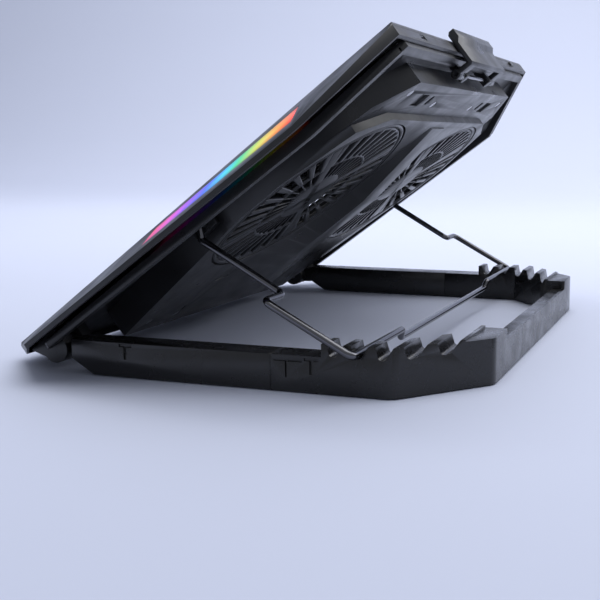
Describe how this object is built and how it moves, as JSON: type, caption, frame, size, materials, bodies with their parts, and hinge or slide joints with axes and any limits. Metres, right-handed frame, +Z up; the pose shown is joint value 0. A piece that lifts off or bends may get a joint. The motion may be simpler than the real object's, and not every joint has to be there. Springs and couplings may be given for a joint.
{
  "type": "laptop cooling pad",
  "caption": "Laptop cooling pad: tilting octagonal fan deck with side light bars, hinged on an open base frame and propped by a wire bail in stepped notches.",
  "frame": {"origin": "middle of the bounding box's underside, on the table", "axes": "+X to the user's right, +Y away from the user, +Z up"},
  "size_m": [0.414, 0.2754, 0.1924],
  "materials": {
    "shell_plastic": "fine satin texture",
    "underside_plastic": "satin moulded texture",
    "base_plastic": "satin moulded texture",
    "mesh_metal": "satin black powder coat",
    "rubber": "matt",
    "steel": "plain",
    "dark_chrome": "black chrome plated",
    "fan_plastic": "semi gloss",
    "motor_metal": "satin",
    "board": "solder mask",
    "diffuser": "frosted light diffuser",
    "trim_plastic": "satin"
  },
  "bodies": {
    "base": {"base_rear_frame": "base_plastic", "base_side_rail_right": "base_plastic", "base_side_rail_left": "base_plastic", "rubber_feet": "rubber", "hinge_pin_right": "dark_chrome", "hinge_pin_left": "dark_chrome"},
    "deck": {"deck_top_cover": "shell_plastic", "deck_bottom_shell": "underside_plastic", "top_mesh": "mesh_metal", "grip_pads": "rubber", "control_board": "board", "usb_socket": "steel", "button_switch": "trim_plastic", "deck_screws": "dark_chrome", "light_bar_right": "diffuser", "light_bar_left": "diffuser", "light_board_right": "board", "light_board_left": "board", "stopper_pin_right": "steel", "stopper_pin_left": "steel", "fan_guard_right": "underside_plastic", "fan_guard_left": "underside_plastic", "fan_motor_right": "motor_metal", "fan_motor_left": "motor_metal", "bail_clip_right": "underside_plastic", "bail_clip_left": "underside_plastic"},
    "bail": {"bail_wire": "dark_chrome"},
    "rest": {"phone_rest": "underside_plastic", "phone_rest_pin": "dark_chrome"},
    "button": {"light_button": "trim_plastic"},
    "fan_right": {"fan_rotor_right": "fan_plastic", "fan_shaft_right": "steel"},
    "stopper_right": {"laptop_stopper_right": "trim_plastic"},
    "fan_left": {"fan_rotor_left": "fan_plastic", "fan_shaft_left": "steel"},
    "stopper_left": {"laptop_stopper_left": "trim_plastic"}
  },
  "joints": [
    {"name": "deck_tilt", "type": "hinge", "parent": "base", "child": "deck", "pos_m": [0, -0.0997, 0.013], "axis": [1, 0, 0], "range_deg": [0, 5]},
    {"name": "bail_swing", "type": "hinge", "parent": "deck", "child": "bail", "pos_m": [0, -0.01719, 0.08383], "axis": [1, 0, 0], "range_deg": [0, 60]},
    {"name": "rest_flip", "type": "hinge", "parent": "deck", "child": "rest", "pos_m": [0, 0.09241, 0.16604], "axis": [-1, 0, 0], "range_deg": [0, 90]},
    {"name": "button_press", "type": "slide", "parent": "deck", "child": "button", "axis": [0, -0.7934, -0.6088], "range_m": [0, 0.0008], "stiffness_N_per_m": 500},
    {"name": "fan_right_spin", "type": "hinge", "parent": "deck", "child": "fan_right", "pos_m": [0.0877, 0.00678, 0.10663], "axis": [0, -0.6088, 0.7934], "continuous": true},
    {"name": "stopper_right_flip", "type": "hinge", "parent": "deck", "child": "stopper_right", "pos_m": [0.104, -0.13038, 0.01614], "axis": [1, 0, 0], "range_deg": [0, 90]},
    {"name": "fan_left_spin", "type": "hinge", "parent": "deck", "child": "fan_left", "pos_m": [-0.0877, 0.00678, 0.10663], "axis": [0, -0.6088, 0.7934], "continuous": true},
    {"name": "stopper_left_flip", "type": "hinge", "parent": "deck", "child": "stopper_left", "pos_m": [-0.104, -0.13038, 0.01614], "axis": [1, 0, 0], "range_deg": [0, 90]}
  ]
}
